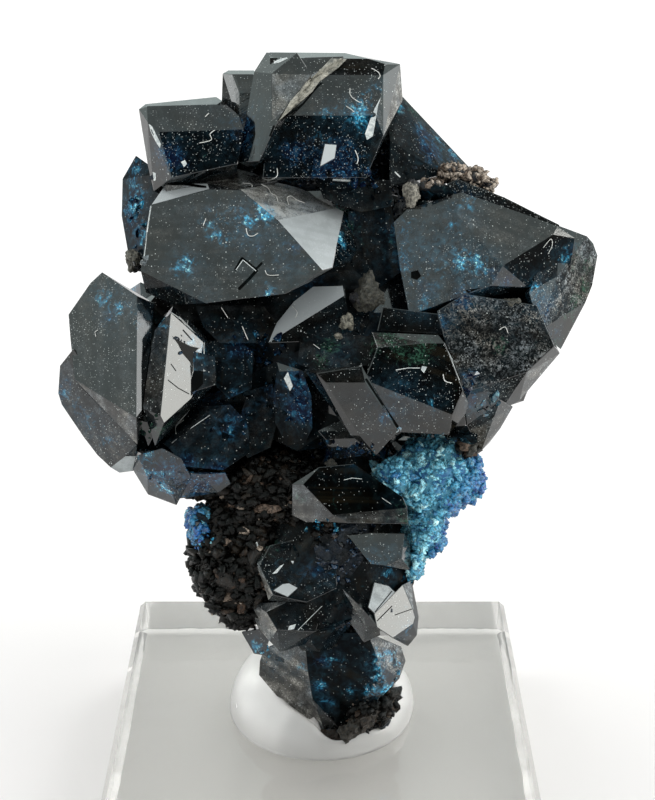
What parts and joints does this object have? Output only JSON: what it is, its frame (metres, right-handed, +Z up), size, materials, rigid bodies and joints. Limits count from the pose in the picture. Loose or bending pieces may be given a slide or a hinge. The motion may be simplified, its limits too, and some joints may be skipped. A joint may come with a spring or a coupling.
{
  "type": "lazulite crystal specimen on a clear display base",
  "caption": "Cluster of dark blue-black lazulite crystals on brown rock with a turquoise crust, standing on its narrow end in a clear putty dome on a clear square base.",
  "frame": {"origin": "centre of the clear base's underside", "axes": "+Z up from the base through the stone, -Y towards the side that the picture shows, +X to the right in the picture"},
  "size_m": [0.0302, 0.0254, 0.0463],
  "materials": {
    "lazulite": "glossy dark blue-black crystal faces, brown granular rock and a matt turquoise crust",
    "clear_putty": "clear, soft gloss",
    "clear_plastic": "clear, polished"
  },
  "bodies": {
    "root": {"lazulite_specimen": "lazulite", "mounting_gel": "clear_putty", "acrylic_base": "clear_plastic"}
  },
  "joints": []
}
